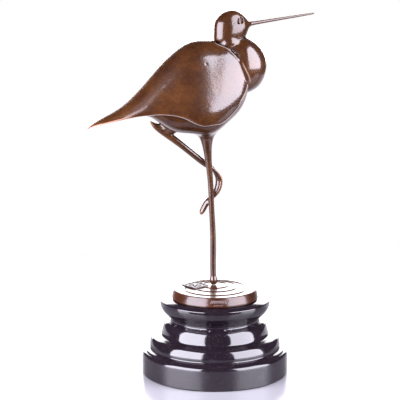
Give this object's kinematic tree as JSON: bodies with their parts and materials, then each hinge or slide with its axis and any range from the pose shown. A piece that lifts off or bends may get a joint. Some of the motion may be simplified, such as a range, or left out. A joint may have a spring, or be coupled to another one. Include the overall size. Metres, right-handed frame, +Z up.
{
  "type": "shorebird sculpture",
  "caption": "Stylised long-billed shorebird standing on one leg, cast in patinated bronze, on a low bronze disc and a turned black marble plinth.",
  "frame": {"origin": "middle of the plinth's flat underside", "axes": "+Z up through the plinth's axis and the standing leg, +X the way the bird faces, +Y the bird's left side. The bird stands turned 11 degrees on its foot, from +X towards +Y, and its head and bill look 14 degrees further that way"},
  "size_m": [0.2245, 0.145, 0.3593],
  "materials": {
    "marble": "polished black marble with fine pale specks",
    "disc_bronze": "polished bronze with a warm orange-brown patina",
    "plate_bronze": "worn bronze with a dark sunk field",
    "bird_bronze": "polished and waxed bronze with a brown patina"
  },
  "bodies": {
    "root": {"marble_plinth": "marble", "ripple_disc": "disc_bronze", "seal_plate": "plate_bronze", "bird": "bird_bronze"}
  },
  "joints": []
}
